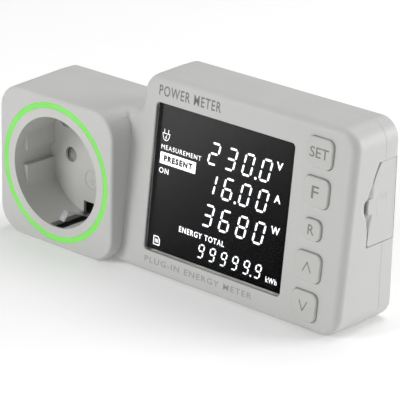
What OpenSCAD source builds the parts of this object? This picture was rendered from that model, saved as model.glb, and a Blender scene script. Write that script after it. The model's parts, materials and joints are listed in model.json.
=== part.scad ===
// Plug-in power meter: a mains socket block and a tilted display block in one housing.
// X runs to the right along the housing, Y from the front towards the wall, Z up.
// The origin is on the underside, straight below the socket's axis, halfway through the housing.

/* [Housing] */
// Side of the square socket block
socket_size = 54.5; // [54.5:0.1:55]
// Depth of the housing, from the socket's front face to the back face
body_depth = 33; // [32.8:0.1:33.4]
// Width of the display block
display_w = 91.5; // [91.5:0.1:92]
// Height of the display block
display_h = 69; // [69:0.1:69.6]
// Gap between the two blocks, filled by the bridge
bridge_w = 3.1; // [3:0.1:3.4]
// Corner radius of the socket block
socket_corner_r = 7; // [6.6:0.1:7.2]
// Corner radius of the display block
display_corner_r = 7; // [6.6:0.1:7.2]
// Radius of the hollow corner where the bridge meets the display block
bridge_fillet_r = 4; // [3:0.5:5]
// Wall thickness
wall = 2; // [1.9:0.1:2]
// Depth of the rear shell, from the parting line to the back face
rear_depth = 6.9; // [6.8:0.1:7]
// How far the display face's foot stands behind the socket's front face
face_step = 4.4; // [4.2:0.1:4.6]
// Backward tilt of the display face, in degrees
face_tilt = 6.2; // [6:0.1:6.4]

/* [Socket] */
// Radius of the recess that takes a plug
recess_r = 19.95; // [19.9:0.05:20]
// Depth of the recess
recess_depth = 17.5; // [17.5:0.1:17.6]
// Spacing of the two contact pins
pin_spacing = 19; // [19:0.1:19.1]
// Radius of a contact pin
pin_r = 2.4; // [2.4:0.01:2.42]
// Free length of a contact pin
pin_length = 19; // [18.5:0.5:19]
// Inner radius of the light ring
ring_inner_r = 23.1; // [23:0.05:23.2]
// Outer radius of the light ring
ring_outer_r = 25.1; // [25:0.05:25.1]

/* [Plug] */
// Radius of the plug body
plug_r = 19; // [18.8:0.1:19]
// Length of the plug body behind the back face
plug_length = 17; // [16.5:0.5:17]

/* [Display] */
// Width of the window
window_w = 60; // [59.5:0.5:60]
// Height of the window, along the tilted face
window_h = 51.7; // [51.5:0.1:51.7]
// Depth of the window below the face
window_recess = 1; // [0.8:0.1:1]

/* [Keys] */
// Width of a key
key_w = 10.2; // [10:0.1:10.4]
// Height of a key
key_h = 9.6; // [9.4:0.1:9.6]
// Height of a key above the face
key_proud = 1; // [0.8:0.1:1.2]
// Gap round a key
key_gap = 0.25; // [0.2:0.05:0.3]

/* [Hidden] */
$fn = 64;
eps = 0.1;
fit = 0.05;

front_y = -body_depth / 2;
back_y = body_depth / 2;
split_y = back_y - rear_depth;
face_foot_y = front_y + face_step;
axis_z = socket_size / 2;
half = socket_size / 2;
display_x = half + bridge_w;
right_x = display_x + display_w;
pin_x = pin_spacing / 2;
floor_y = front_y + recess_depth;
plug_end_y = back_y + plug_length;

// Socket cup
cup_r = recess_r + 1.65;
cup_floor = 1.2;
land_x = 17.6;
land_depth = 4;
groove_half = 2.75;
pin_hole_r = 2.75;
slot_half = 3.2;
slot_r = 20.9;
slot_start_y = front_y + 2.8;
strap_half = 1.3;
ear_y = [front_y + 7.2, front_y + 9.2];
corner_post = 20.5;

// Contacts
tube_r = 3.1;
bore_r = 2.45;
strip_t = 0.7;
tube_y = [6.6, 20.6];
tail_r = 1.5;
root_r = 2.6;
tail_y = 25.3;
link_z = [axis_z - 2.25, axis_z + 2.25];

// Plug body
flange_y = back_y - wall - 2;
plug_hollow_r = 15.5;
plug_end_wall = 4;
plug_inside_y = plug_end_y - plug_end_wall;
channel_half = 2.7;
channel_r = 17.3;
flat_x = 17.3;
rib_half = 2.6;
french_z = axis_z + 10;

// Window and display stack: left edge, foot (along the face), width, height
window_x = display_x + 6.75;
window_u = 8.3;
lens_margin = 0.8;
lens_t = 1.4;
stack = [display_x + 4.85, 7.3, 63.8, 53.7];
board_front = 8.5;
board_t = 1.6;

// Keys: height of the centre along the face, width, height
key_x = 107.7;
KEYS = [
    [59.7, key_w, key_h],
    [46.8, key_w, key_h],
    [34.4, 7.2, 6.9],
    [22.0, key_w, key_h],
    [8.9, key_w, key_h]
];
skirt = 0.8;
plunger_r = 1.7;
switch_size = 6;

// Boards and fasteners
power_y = [11.5, 13.1];
power_screws = [[39, 9], [39, 57], [106, 9], [84, 58]];
display_screws = [[44, 5.2], [98, 5.2], [44, 64.2], [98, 64.2]];
right_posts = [[116.4, 5.6], [116.4, 63.4]];
post_r = 3.5;
right_post_r = 2.5;
right_foot_r = 3.6;
boss_r = 2.9;
right_post_y = 2;
head_r = 2.7;
small_head_r = 1.9;

// Card flap
flap_z = [28.9, 56.4];
flap_t = 1.6;
knuckle_r = 0.9;
flap_axis_x = right_x - knuckle_r;
flap_axis_y = 14.9;
flap_gap = 0.2;
hinge_r = 0.6;
slot_y = [8.7, 11.2];
slot_z = [30.4, 55.1];
card_block_x = 117.6;

// Shutter
shutter_z = [axis_z - 3.35, axis_z + 3.25];
shutter_y = [floor_y + cup_floor + 0.2, floor_y + cup_floor + 2.3];
guide_y = shutter_y[1] + 0.2;
spring_z = [13.55, 23.85];
spring_r = 0.75;
spring_wire_r = 0.15;
spring_turns = 8;
spring_steps = 8;
spring_sides = 6;

shell_grey = [0.77, 0.77, 0.76];
brass = [0.78, 0.66, 0.36];
steel = [0.72, 0.73, 0.75];
board_green = [0.10, 0.38, 0.22];

// A box between two corners
module block(low, high) {
    translate(low) cube(high - low);
}

// A round bar along Y
module bar(x, z, r, y0, y1) {
    translate([x, y0, z]) rotate([-90, 0, 0]) cylinder(r = r, h = y1 - y0);
}

// A shape drawn in X and Z, extruded along Y
module slab(y0, y1) {
    translate([0, y1, 0]) rotate([90, 0, 0]) linear_extrude(y1 - y0) children();
}

// A profile drawn in Y and Z, extruded along X
module side_slab(x0, x1) {
    translate([x0, 0, 0]) rotate([90, 0, 90]) linear_extrude(x1 - x0) children();
}

module rounded(x0, z0, w, h, r) {
    translate([x0 + r, z0]) square([w - 2 * r, h]);
    translate([x0, z0 + r]) square([w, h - 2 * r]);
    for (x = [x0 + r, x0 + w - r], z = [z0 + r, z0 + h - r])
        translate([x, z]) circle(r);
}

module socket_outline(inset) {
    size = socket_size - 2 * inset;
    rounded(inset - half, inset, size, size, socket_corner_r - inset);
}

// Both blocks and the bridge, with the hollow corner above the bridge
module outline(inset) {
    socket_outline(inset);
    rounded(display_x + inset, inset, display_w - 2 * inset, display_h - 2 * inset,
        display_corner_r - inset);
    translate([half - 10, inset]) square([20, socket_size - 2 * inset]);
    corner = [display_x + inset - bridge_fillet_r, socket_size - inset];
    difference() {
        translate(corner) square([bridge_fillet_r + 1, bridge_fillet_r]);
        translate(corner + [0, bridge_fillet_r]) circle(bridge_fillet_r);
    }
}

// The tilted face's own frame: X along it, Y into the housing, Z up it
module on_face() {
    translate([0, face_foot_y, 0]) rotate([-face_tilt, 0, 0]) children();
}

module behind_face(depth) {
    on_face() translate([-60, depth, -40]) cube([260, 80, 160]);
}

module corner_bars(r, y0, y1) {
    for (x = [-corner_post, corner_post], z = [-corner_post, corner_post])
        bar(x, axis_z + z, r, y0, y1);
}

module right_bars(r, y0, y1) {
    for (p = right_posts) bar(p[0], p[1], r, y0, y1);
}

// The flap's outline in Y and Z: its front edge leans back and swells into a finger tab
module flap_profile(gap) {
    polygon([
        [flap_axis_y, flap_z[0] - gap], [1.7 - gap, flap_z[0] - gap], [1.8 - gap, 34.3],
        [0.8 - gap, 39.5], [0.8 - gap, 44.5], [2.9 - gap, 48.9], [4.6 - gap, 52.9],
        [6.6 - gap, flap_z[1] + gap], [flap_axis_y, flap_z[1] + gap]
    ]);
}

module flap_pocket() {
    side_slab(right_x - flap_t - 0.1, right_x + 1) flap_profile(flap_gap);
    translate([flap_axis_x, flap_axis_y, flap_z[0] - flap_gap])
        cylinder(r = knuckle_r + flap_gap, h = flap_z[1] - flap_z[0] + 2 * flap_gap);
    block([flap_axis_x, flap_axis_y, flap_z[0] - flap_gap],
        [right_x + 1, flap_axis_y + knuckle_r + flap_gap, flap_z[1] + flap_gap]);
    translate([flap_axis_x, flap_axis_y, flap_z[0] - 1.8])
        cylinder(r = hinge_r + fit, h = flap_z[1] - flap_z[0] + 3.6);
    block([card_block_x - 1, slot_y[0], slot_z[0]], [right_x, slot_y[1], slot_z[1]]);
}

module window_opening() {
    slab(-1, window_recess + eps)
        rounded(window_x, window_u, window_w, window_h, 1.5);
    slab(window_recess, wall + eps)
        rounded(window_x - lens_margin - eps, window_u - lens_margin - eps,
            window_w + 2 * lens_margin + 2 * eps, window_h + 2 * lens_margin + 2 * eps, 2);
}

module key_outline(key, margin) {
    w = key[1] + 2 * margin;
    h = key[2] + 2 * margin;
    rounded(key_x - w / 2, key[0] - h / 2, w, h, 2.2 + margin);
}

// Front half of the housing
module front_shell() color(shell_grey) difference() {
    union() {
        difference() {
            union() {
                intersection() {
                    slab(face_foot_y, split_y) outline(0);
                    behind_face(0);
                }
                slab(front_y, split_y) socket_outline(0);
            }
            intersection() {
                slab(face_foot_y, split_y + 1) outline(wall);
                behind_face(wall);
            }
            slab(front_y + wall, split_y + 1) socket_outline(wall);
        }
        corner_bars(boss_r, front_y + 1, ear_y[0] - 1.2);
        intersection() {
            right_bars(right_post_r, face_foot_y, right_post_y);
            behind_face(1);
        }
        on_face() for (p = display_screws) bar(p[0], p[1], 2, 1.5, board_front);
        block([card_block_x, 0, flap_z[0] - 1.9], [right_x - 1, split_y, flap_z[1] + 2.1]);
    }
    bar(0, axis_z, ring_outer_r + fit, front_y - 1, front_y + wall + 1);
    corner_bars(1.3, front_y + 1.2, ear_y[0]);
    right_bars(1.3, -2.8, right_post_y + 1);
    on_face() {
        window_opening();
        for (key = KEYS) slab(-1, wall + 1) key_outline(key, key_gap);
        for (p = display_screws) bar(p[0], p[1], 1.05, 3, board_front + 1);
    }
    flap_pocket();
    translate([right_x + 4.9, 1.6, 42.3]) sphere(6);
}

// Rear half of the housing, with the posts for the long screws
module rear_shell() color(shell_grey) difference() {
    union() {
        difference() {
            slab(split_y, back_y) outline(0);
            slab(split_y - 1, back_y - wall) outline(wall);
        }
        corner_bars(post_r, ear_y[1], back_y - 1);
        right_bars(right_post_r, right_post_y, back_y - 1);
        right_bars(right_foot_r, split_y + eps, back_y - 1);
        for (p = power_screws) bar(p[0], p[1], 2.5, power_y[1], back_y - 1);
        block([card_block_x, split_y, flap_z[0] - 1.9], [right_x - 1, back_y - 1, flap_z[1] + 2.1]);
    }
    bar(0, axis_z, plug_r + fit, split_y, back_y + 1);
    corner_bars(1.6, ear_y[1] - 1, back_y);
    corner_bars(head_r + 0.2, 8, back_y + 1);
    right_bars(1.6, 0, back_y);
    right_bars(2.5, 12, back_y + 1);
    for (p = power_screws) bar(p[0], p[1], 1.05, power_y[1] - 1, back_y - 0.8);
    for (x = [-14.7, 14.7], z = [-14.7, 14.7])
        bar(x, axis_z + z, 0.95, back_y - wall - 1, back_y - 0.6);
    flap_pocket();
}

// Cup that takes the plug, with guide lands at the sides and earth slots above and below
module socket_cup() color(shell_grey) difference() {
    union() {
        bar(0, axis_z, ring_inner_r - fit, front_y, front_y + wall - eps);
        bar(0, axis_z, cup_r, front_y, floor_y + cup_floor);
        slab(ear_y[0], ear_y[1]) translate([0, axis_z]) for (a = [45:90:315]) rotate(a) {
            translate([cup_r - 1, -boss_r]) square([corner_post * sqrt(2) - cup_r + 1, 2 * boss_r]);
            translate([corner_post * sqrt(2), 0]) circle(boss_r);
        }
    }
    bar(0, axis_z, recess_r, front_y - 1, front_y + land_depth);
    intersection() {
        bar(0, axis_z, recess_r, front_y, floor_y);
        union() {
            block([-land_x, front_y, 0], [land_x, floor_y + 1, socket_size]);
            block([-half, front_y, axis_z - groove_half], [half, floor_y + 1, axis_z + groove_half]);
        }
    }
    for (x = [-pin_x, pin_x]) bar(x, axis_z, pin_hole_r, floor_y - 1, floor_y + cup_floor + 1);
    for (side = [-1, 1]) translate([0, 0, axis_z]) scale([1, 1, side]) {
        block([-slot_half, slot_start_y, 18], [slot_half, floor_y + eps, cup_r + 1]);
        block([-slot_half, floor_y - eps, 15.6], [slot_half, floor_y + cup_floor + 1, slot_r]);
    }
    corner_bars(1.6, ear_y[0] - 1, ear_y[1] + 1);
}

// Translucent ring that carries the light to the front face
module ring_light() color([0.56, 0.93, 0.46]) difference() {
    union() {
        bar(0, axis_z, ring_outer_r, front_y, front_y + 4.9);
        intersection() {
            bar(0, axis_z, ring_outer_r + 0.8, front_y + wall, front_y + wall + 1.2);
            block([fit + wall - half, front_y, fit + wall], [half - wall - fit, 0, socket_size - wall - fit]);
        }
    }
    bar(0, axis_z, ring_inner_r, front_y - 1, front_y + 6);
}

module ring_board() color(board_green) difference() {
    slab(ear_y[0] - 1.2, ear_y[0]) socket_outline(wall + 0.15);
    bar(0, axis_z, ring_inner_r + fit, front_y, 0);
    corner_bars(1.6, front_y, 0);
}

// Twelve small lamps behind the light ring
module ring_leds() color([0.95, 0.95, 0.85]) {
    led = [0.8, 0.8, 1.6];
    radius = (ring_inner_r + ring_outer_r) / 2;
    for (a = [15:30:345]) translate([0, 0, axis_z]) rotate([0, a, 0])
        translate([radius - led[0] / 2, ear_y[0] - 1.2 - led[1], -led[2] / 2]) cube(led);
}

// Child safety shutter: sloped pads behind the pin holes
module shutter() color([0.6, 0.6, 0.58]) difference() {
    block([-13.1, shutter_y[0], shutter_z[0]], [13.1, shutter_y[1], shutter_z[1]]);
    for (x = [-13.2, 6]) side_slab(x, x + 7.2) polygon([
        [shutter_y[0] - eps, axis_z - 2.4], [shutter_y[0] - eps, shutter_z[1] + eps],
        [shutter_y[1] - 0.4, shutter_z[1] + eps]
    ]);
}

// Channel that the shutter slides in, with a seat for its spring
module shutter_guide() color([0.85, 0.85, 0.83]) difference() {
    cup_back = floor_y + cup_floor + fit;
    union() {
        block([-14.1, guide_y, 12.5], [14.1, guide_y + 0.8, 31.6]);
        for (x = [-14.1, 13.3]) block([x, cup_back, 12.5], [x + 0.8, guide_y + eps, 31.6]);
        block([-14.1, cup_back, 12.5], [14.1, guide_y + eps, 13.5]);
        block([-14.1, cup_back, 30.7], [14.1, guide_y + eps, 31.6]);
    }
    for (x = [-pin_x, pin_x]) bar(x, axis_z, pin_hole_r, guide_y - 1, guide_y + 2);
}

// Points of a coil's wire, ring by ring
function coil_centre(i) = let (a = 360 * i / spring_steps, last = spring_turns * spring_steps)
    [spring_r * cos(a), spring_r * sin(a),
     spring_z[0] + spring_wire_r + (spring_z[1] - spring_z[0] - 2 * spring_wire_r) * i / last];
function coil_ring(i) = let (a = 360 * i / spring_steps, c = coil_centre(i))
    [for (k = [0:spring_sides - 1]) let (b = 360 * k / spring_sides)
        c + spring_wire_r * [cos(b) * cos(a), cos(b) * sin(a), sin(b)]];

module shutter_spring() color(steel) {
    rings = spring_turns * spring_steps;
    n = spring_sides;
    points = [for (i = [0:rings]) for (p = coil_ring(i)) p];
    sides = [for (i = [0:rings - 1]) for (k = [0:n - 1])
        [i * n + (k + 1) % n, (i + 1) * n + (k + 1) % n, (i + 1) * n + k, i * n + k]];
    ends = [[for (k = [n - 1:-1:0]) k], [for (k = [0:n - 1]) rings * n + k]];
    translate([0, (shutter_y[0] + shutter_y[1]) / 2, 0])
        polyhedron(points = points, faces = concat(sides, ends));
}

// One bent strip: both earth springs in the recess, joined behind its floor
module earth_strap() color(steel) {
    for (side = [-1, 1]) translate([0, 0, axis_z]) scale([1, 1, side]) side_slab(-strap_half, strap_half) polygon([
        [7.1, 0], [7.1, 19.6], [-2.6, 19.6], [-10.8, 16.2], [-12.6, 18.6], [-12.6, 21.2],
        [-13.3, 21.2], [-13.3, 18.3], [-10.9, 15.4], [-2.8, 18.9], [6.4, 18.9], [6.4, 0]
    ]);
}

module contact_tube(x) {
    bar(x, axis_z, tube_r, tube_y[0], tube_y[1]);
}

module contact_bore(x) {
    bar(x, axis_z, bore_r, tube_y[0] - 1, tube_y[1] + 1);
}

// Sleeve for the live pin of a plug, with a strip to the shunt
module live_contact() color(brass) difference() {
    union() {
        contact_tube(pin_x);
        block([pin_x, tube_y[0], link_z[0]], [46, tube_y[0] + strip_t, link_z[1]]);
        block([46 - strip_t, tube_y[0], link_z[0]], [46, power_y[0] - eps, link_z[1]]);
    }
    contact_bore(pin_x);
}

// Sleeve for the neutral pin, joined to the plug's neutral pin and tapped to the board
module neutral_contact() color(brass) difference() {
    tap_y = [8.2, 8.9];
    tap_z = [38.5, 42.5];
    union() {
        contact_tube(-pin_x);
        block([-12.9, 16, link_z[0]], [-12.9 + strip_t, 26.7, link_z[1]]);
        block([-12.9, 26, link_z[0]], [-6.5, 26.7, link_z[1]]);
        block([-11.5, tap_y[0], axis_z + 2.5], [-7.5, tap_y[1], tap_z[1]]);
        block([-11.5, tap_y[0], tap_z[0]], [41, tap_y[1], tap_z[1]]);
        block([41 - strip_t, tap_y[0], tap_z[0]], [41, power_y[0] - eps, tap_z[1]]);
    }
    contact_bore(-pin_x);
    bar(-pin_x, axis_z, tail_r + fit, 25, 28);
}

// Plug body: a round boss with side flats, guide ribs and earth channels
module plug_base() color(shell_grey) difference() {
    union() {
        bar(0, axis_z, plug_r + 3.5, flange_y, flange_y + 2);
        bar(0, axis_z, plug_r, flange_y, plug_end_y);
    }
    bar(0, axis_z, plug_hollow_r, flange_y - 1, plug_inside_y);
    for (x = [-pin_x, pin_x]) bar(x, axis_z, root_r + 0.02, plug_inside_y - 1, plug_end_y + 1);
    bar(0, french_z, 2.6, plug_inside_y - 1, plug_end_y + 1);
    for (sx = [-1, 1], sz = [-1, 1]) translate([0, 0, axis_z]) scale([sx, 1, sz])
        block([flat_x, back_y + eps, rib_half], [half, plug_end_y + 1, half]);
    for (side = [-1, 1]) translate([0, 0, axis_z]) scale([1, 1, side])
        block([-channel_half, flange_y - 1, channel_r], [channel_half, plug_end_y - 2, 19.4]);
    for (x = [-14.7, 14.7], z = [-14.7, 14.7]) bar(x, axis_z + z, 0.95, flange_y - 1, flange_y + 2);
}

module plug_base_screws() color(steel) for (x = [-14.7, 14.7], z = [-14.7, 14.7]) {
    bar(x, axis_z + z, 0.9, flange_y - eps, back_y - 0.8);
    bar(x, axis_z + z, 1.7, flange_y - 1.2, flange_y);
}

module plug_pin(x) {
    tip = 1.2;
    bar(x, axis_z, tail_r, tail_y, plug_inside_y - 2.4);
    bar(x, axis_z, 3.4, plug_inside_y - 2.5, plug_inside_y);
    bar(x, axis_z, root_r, plug_inside_y - eps, plug_end_y);
    bar(x, axis_z, pin_r, plug_end_y, plug_end_y + pin_length - tip);
    translate([x, plug_end_y + pin_length - tip, axis_z]) rotate([-90, 0, 0])
        cylinder(r1 = pin_r, r2 = pin_r - 0.9, h = tip);
}

module live_pin() color(brass) plug_pin(pin_x);

module neutral_pin() color(brass) plug_pin(-pin_x);

// Earth contacts in the plug's channels, joined across the front of the plug body
module plug_earth_strap() color(steel)
    for (side = [-1, 1]) translate([0, 0, axis_z]) scale([1, 1, side]) side_slab(-2.4, 2.4) polygon([
        [11.5, 0], [11.5, 18.1], [31.2, 18.1], [31.2, 17.4], [12.2, 17.4], [12.2, 0]
    ]);

// Sleeve for the earth pin that stands in some wall sockets
module earth_sleeve() color(brass) difference() {
    union() {
        bar(0, french_z, tube_r, 20, plug_inside_y - eps);
        block([-1.5, 12.2, french_z + tube_r - 0.3], [1.5, plug_inside_y - eps, french_z + tube_r + 0.5]);
    }
    bar(0, french_z, bore_r, 19, plug_inside_y + 1);
}

module earth_rivet() color(steel) bar(0, axis_z, 1.5, 7.1, 11.5);

// Strip from the plug's live pin to the shunt
module live_busbar() color([0.75, 0.45, 0.3]) difference() {
    run_y = 9.4;
    union() {
        block([6.5, 26, link_z[0]], [14.7, 26 + strip_t, link_z[1]]);
        block([14.7 - strip_t, run_y, link_z[0]], [14.7, 26 + strip_t, link_z[1]]);
        block([14.7 - strip_t, run_y, link_z[0]], [41, run_y + strip_t, link_z[1]]);
        block([41 - strip_t, run_y, link_z[0]], [41, power_y[0] - eps, link_z[1]]);
    }
    bar(pin_x, axis_z, tail_r + fit, 25, 28);
}

module shunt() color([0.6, 0.5, 0.42])
    block([41.1, power_y[0] - 0.9, 25.5], [45.2, power_y[0] - 0.1, 29]);

// Board behind the display, with a tongue that carries the card slot
module power_board() color(board_green) difference() {
    union() {
        block([34.5, power_y[0], 5], [111, power_y[1], 62]);
        block([110, power_y[0], 28.5], [117.4, power_y[1], 57]);
    }
    for (p = power_screws) bar(p[0], p[1], 1.2, power_y[0] - 1, power_y[1] + 1);
}

module filter_capacitor() color([0.85, 0.72, 0.25]) block([50, 2.5, 6.5], [68, 11.4, 14]);

module varistor() color([0.2, 0.35, 0.65]) translate([60, 7, 16.5]) cylinder(r = 4.2, h = 3.8);

// Glass fuse between two end caps
module fuse() color([0.85, 0.85, 0.85]) translate([48, 8.6, 50]) rotate([0, 90, 0]) {
    cylinder(r = 2.3, h = 20);
    for (x = [0, 15]) translate([0, 0, x]) cylinder(r = 2.6, h = 5);
}

module transformer() color([0.2, 0.2, 0.2]) {
    block([73, 4, 8], [87, 10.6, 20]);
    block([75, 3.5, 9.5], [85, 11.4, 18.5]);
}

module smoothing_capacitors() color([0.15, 0.15, 0.2]) for (x = [91, 99.4]) bar(x, 12, 4, 3.8, 11.4);

module metering_chip() color([0.1, 0.1, 0.1]) block([79, 10.2, 25], [87, 11.4, 33]);

module board_link() color([0.1, 0.1, 0.1]) block([76, 3.4, 42], [87, 11.4, 46]);

module cell_holder() color([0.9, 0.9, 0.88]) difference() {
    block([52.5, 8.8, 23.1], [75.5, 11.4, 44.9]);
    bar(64, 34, 10.15, 8, 10.9);
}

module coin_cell() color(steel) {
    bar(64, 34, 10, 8.3, 10.8);
    bar(64, 34, 9, 7.7, 8.4);
}

// Metal cage that holds the memory card
module card_slot() color(steel) difference() {
    block([90, 8.4, 29.5], [117.4, 11.4, 56]);
    block([91, slot_y[0] + 0.1, slot_z[0]], [118, slot_y[1] - 0.1, slot_z[1]]);
}

module display_board() color(board_green) on_face() difference() {
    block([34, board_front, 3.5], [112, board_front + board_t, 66.2]);
    for (p = display_screws) bar(p[0], p[1], 1.2, board_front - 1, board_front + board_t + 1);
}

module display_chip() color([0.1, 0.1, 0.1]) on_face()
    block([58, board_front + board_t, 32], [70, board_front + board_t + 1.2, 44]);

// Five push switches behind the keys
module key_switches() color([0.2, 0.2, 0.2]) on_face() difference() {
    s = switch_size / 2;
    for (key = KEYS)
        block([key_x - s, board_front - 3.3, key[0] - s], [key_x + s, board_front, key[0] + s]);
    for (key = KEYS) bar(key_x, key[0], plunger_r + 0.1, board_front - 4, board_front - 1.9);
}

module stack_slab(y0, y1, inset) {
    on_face() slab(y0, y1)
        translate([stack[0] + inset, stack[1] + inset])
            square([stack[2] - 2 * inset, stack[3] - 2 * inset]);
}

module backlight() color([0.9, 0.93, 0.9]) stack_slab(4.85, 7.6, 1.2);

module lcd_panel() color([0.05, 0.05, 0.06]) stack_slab(2.6, 4.75, 1.2);

module lcd_frame() color([0.85, 0.85, 0.83]) difference() {
    stack_slab(2.55, board_front - fit, 0);
    stack_slab(2, board_front + 1, 1.1);
}

// Clear cover of the display, set into the face from behind
module display_window() color([0.2, 0.2, 0.22]) on_face()
    slab(window_recess + fit, window_recess + fit + lens_t)
        rounded(window_x - lens_margin, window_u - lens_margin,
            window_w + 2 * lens_margin, window_h + 2 * lens_margin, 1.9);

// A key: its cap, the skirt that holds it in the face, and the stem to its switch
module button(key) color(shell_grey) on_face() {
    slab(-key_proud, wall + eps) key_outline(key, 0);
    slab(wall + eps, wall + 1) key_outline(key, skirt);
    bar(key_x, key[0], 1.6, wall + 0.9, wall + 1.85);
}

// The moving stud of a push switch
module plunger(key) color([0.85, 0.3, 0.2]) on_face() bar(key_x, key[0], plunger_r, wall + 1.9, 6);

module button_set() button(KEYS[0]);
module button_function() button(KEYS[1]);
module button_reset() button(KEYS[2]);
module button_up() button(KEYS[3]);
module button_down() button(KEYS[4]);
module plunger_set() plunger(KEYS[0]);
module plunger_function() plunger(KEYS[1]);
module plunger_reset() plunger(KEYS[2]);
module plunger_up() plunger(KEYS[3]);
module plunger_down() plunger(KEYS[4]);

// Flap over the card slot, on two stub pins
module card_flap() color(shell_grey) {
    side_slab(right_x - flap_t, right_x) flap_profile(0);
    translate([flap_axis_x, flap_axis_y, flap_z[0]]) cylinder(r = knuckle_r, h = flap_z[1] - flap_z[0]);
    translate([flap_axis_x, flap_axis_y, flap_z[0] - 1.6])
        cylinder(r = hinge_r, h = flap_z[1] - flap_z[0] + 3.2);
}

module housing_screws() color(steel) {
    corner_bars(1.25, front_y + 2.2, 8.1);
    corner_bars(head_r, 8, 10);
    right_bars(1.25, -2, 12.1);
    right_bars(2.3, 12, 13.8);
}

module display_board_screws() color(steel) on_face() for (p = display_screws) {
    bar(p[0], p[1], 1, 3.5, board_front + board_t + eps);
    bar(p[0], p[1], small_head_r, board_front + board_t, board_front + board_t + 1.2);
}

module power_board_screws() color(steel) for (p = power_screws) {
    bar(p[0], p[1], 1, power_y[0] - eps, back_y - 1);
    bar(p[0], p[1], small_head_r, power_y[0] - 1.2, power_y[0]);
}

front_shell();
rear_shell();
socket_cup();
ring_light();
ring_board();
ring_leds();
shutter();
shutter_guide();
shutter_spring();
earth_strap();
live_contact();
neutral_contact();
plug_base();
plug_base_screws();
live_pin();
neutral_pin();
plug_earth_strap();
earth_sleeve();
earth_rivet();
live_busbar();
shunt();
power_board();
filter_capacitor();
varistor();
fuse();
transformer();
smoothing_capacitors();
metering_chip();
board_link();
cell_holder();
coin_cell();
card_slot();
display_board();
display_chip();
key_switches();
backlight();
lcd_panel();
lcd_frame();
display_window();
button_set();
button_function();
button_reset();
button_up();
button_down();
plunger_set();
plunger_function();
plunger_reset();
plunger_up();
plunger_down();
card_flap();
housing_screws();
display_board_screws();
power_board_screws();
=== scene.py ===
"""Looks of the plug-in power meter: moulded shells, keys, readout, light ring, metal and boards.

Lengths in this file are millimetres until a mesh is made, where MM turns them into metres.
X runs right along the housing, Y back towards the wall, Z up, as in the CAD model.
"""
import json
from math import atan2, cos, degrees, pi, radians, sin, tan

import bmesh
import bpy
from mathutils import Matrix, Vector


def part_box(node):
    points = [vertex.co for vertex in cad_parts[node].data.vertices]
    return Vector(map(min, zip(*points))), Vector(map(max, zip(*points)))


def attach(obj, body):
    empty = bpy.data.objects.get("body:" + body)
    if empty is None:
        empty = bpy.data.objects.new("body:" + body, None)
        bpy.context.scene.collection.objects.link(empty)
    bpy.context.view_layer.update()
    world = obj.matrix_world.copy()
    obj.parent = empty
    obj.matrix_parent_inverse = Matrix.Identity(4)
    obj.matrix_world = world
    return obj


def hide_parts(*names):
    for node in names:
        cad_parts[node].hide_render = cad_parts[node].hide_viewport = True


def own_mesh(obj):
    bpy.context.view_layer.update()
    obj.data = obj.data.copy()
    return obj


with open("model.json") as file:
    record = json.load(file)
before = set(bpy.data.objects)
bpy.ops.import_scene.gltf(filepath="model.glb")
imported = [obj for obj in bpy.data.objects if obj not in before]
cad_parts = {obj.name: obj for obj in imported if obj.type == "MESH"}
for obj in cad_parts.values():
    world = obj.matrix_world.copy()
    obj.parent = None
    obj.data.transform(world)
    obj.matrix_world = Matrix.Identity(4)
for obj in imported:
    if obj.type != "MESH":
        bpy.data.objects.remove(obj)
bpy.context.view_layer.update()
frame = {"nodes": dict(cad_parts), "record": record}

MM = 0.001
scene = bpy.context.scene


def box(node):
    """Lowest and highest corner of a CAD node, in millimetres."""
    low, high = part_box(node)
    return low / MM, high / MM


# ---------------------------------------------------------------- sizes from the frame
FRONT_LOW, FRONT_HIGH = box("front_shell")
REAR_HIGH = box("rear_shell")[1]
LEFT, RIGHT = FRONT_LOW.x, FRONT_HIGH.x
FRONT, SPLIT, BACK = FRONT_LOW.y, FRONT_HIGH.y, REAR_HIGH.y
DISPLAY_TOP = FRONT_HIGH.z
SOCKET_TOP = -2 * LEFT                    # the socket block is square, with its axis at x = 0
AXIS_Z = SOCKET_TOP / 2
DISPLAY_LEFT = -LEFT + 3.1                # the display block starts just past the socket block
FOOT = FRONT + 4.4                        # where the tilted face meets z = 0
TILT = radians(6.2)
FACE = Matrix((
    (1, 0, 0, 0),
    (0, sin(TILT), -cos(TILT), FOOT),
    (0, cos(TILT), sin(TILT), 0),
    (0, 0, 0, 1),
))                                        # (x, height up the face, height off it) to the row frame

SKIN = 0.02                               # looks stay this far inside the CAD surface
DRAFT = 0.25                              # how much smaller the display block is at its front
SOCKET_DRAFT = 0.08                       # the same for the socket block
SOCKET_R = 7.0                            # corner radii at the parting line
DISPLAY_R = 7.0
BRIDGE_R = 4.0
SOCKET_R_GROWTH = 2.2                     # how much rounder the corners are at the front
DISPLAY_R_GROWTH = 0.8
SOCKET_EDGE = 1.1                         # radii of the edges round the front and the back
FACE_EDGE = 2.8
REAR_EDGE = 1.3
WINDOW_LOW, WINDOW_HIGH = box("display_window")
LENS_MARGIN = 0.8                         # how far the cover reaches under the rim of its opening
WINDOW = (
    WINDOW_LOW.x + LENS_MARGIN,
    WINDOW_HIGH.x - LENS_MARGIN,
    8.3,
    60.0,
)                                         # left, right, foot, head, along the face
KEY_PROUD = 1.0                           # how far the keys stand off the face
WALL = 2.0
RECESS_DEPTH = 17.5
RECESS_R = 19.95
SLOT_HALF = 3.2                           # half the width of the earth springs' slots
GROOVE = 0.13                             # chamfer on both sides of the parting line


def srgb(red, green, blue):
    """Linear colour from 0..255 display values."""
    def linear(value):
        value = value / 255
        return value / 12.92 if value <= 0.04045 else ((value + 0.055) / 1.055) ** 2.4
    return (linear(red), linear(green), linear(blue), 1.0)


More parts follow.
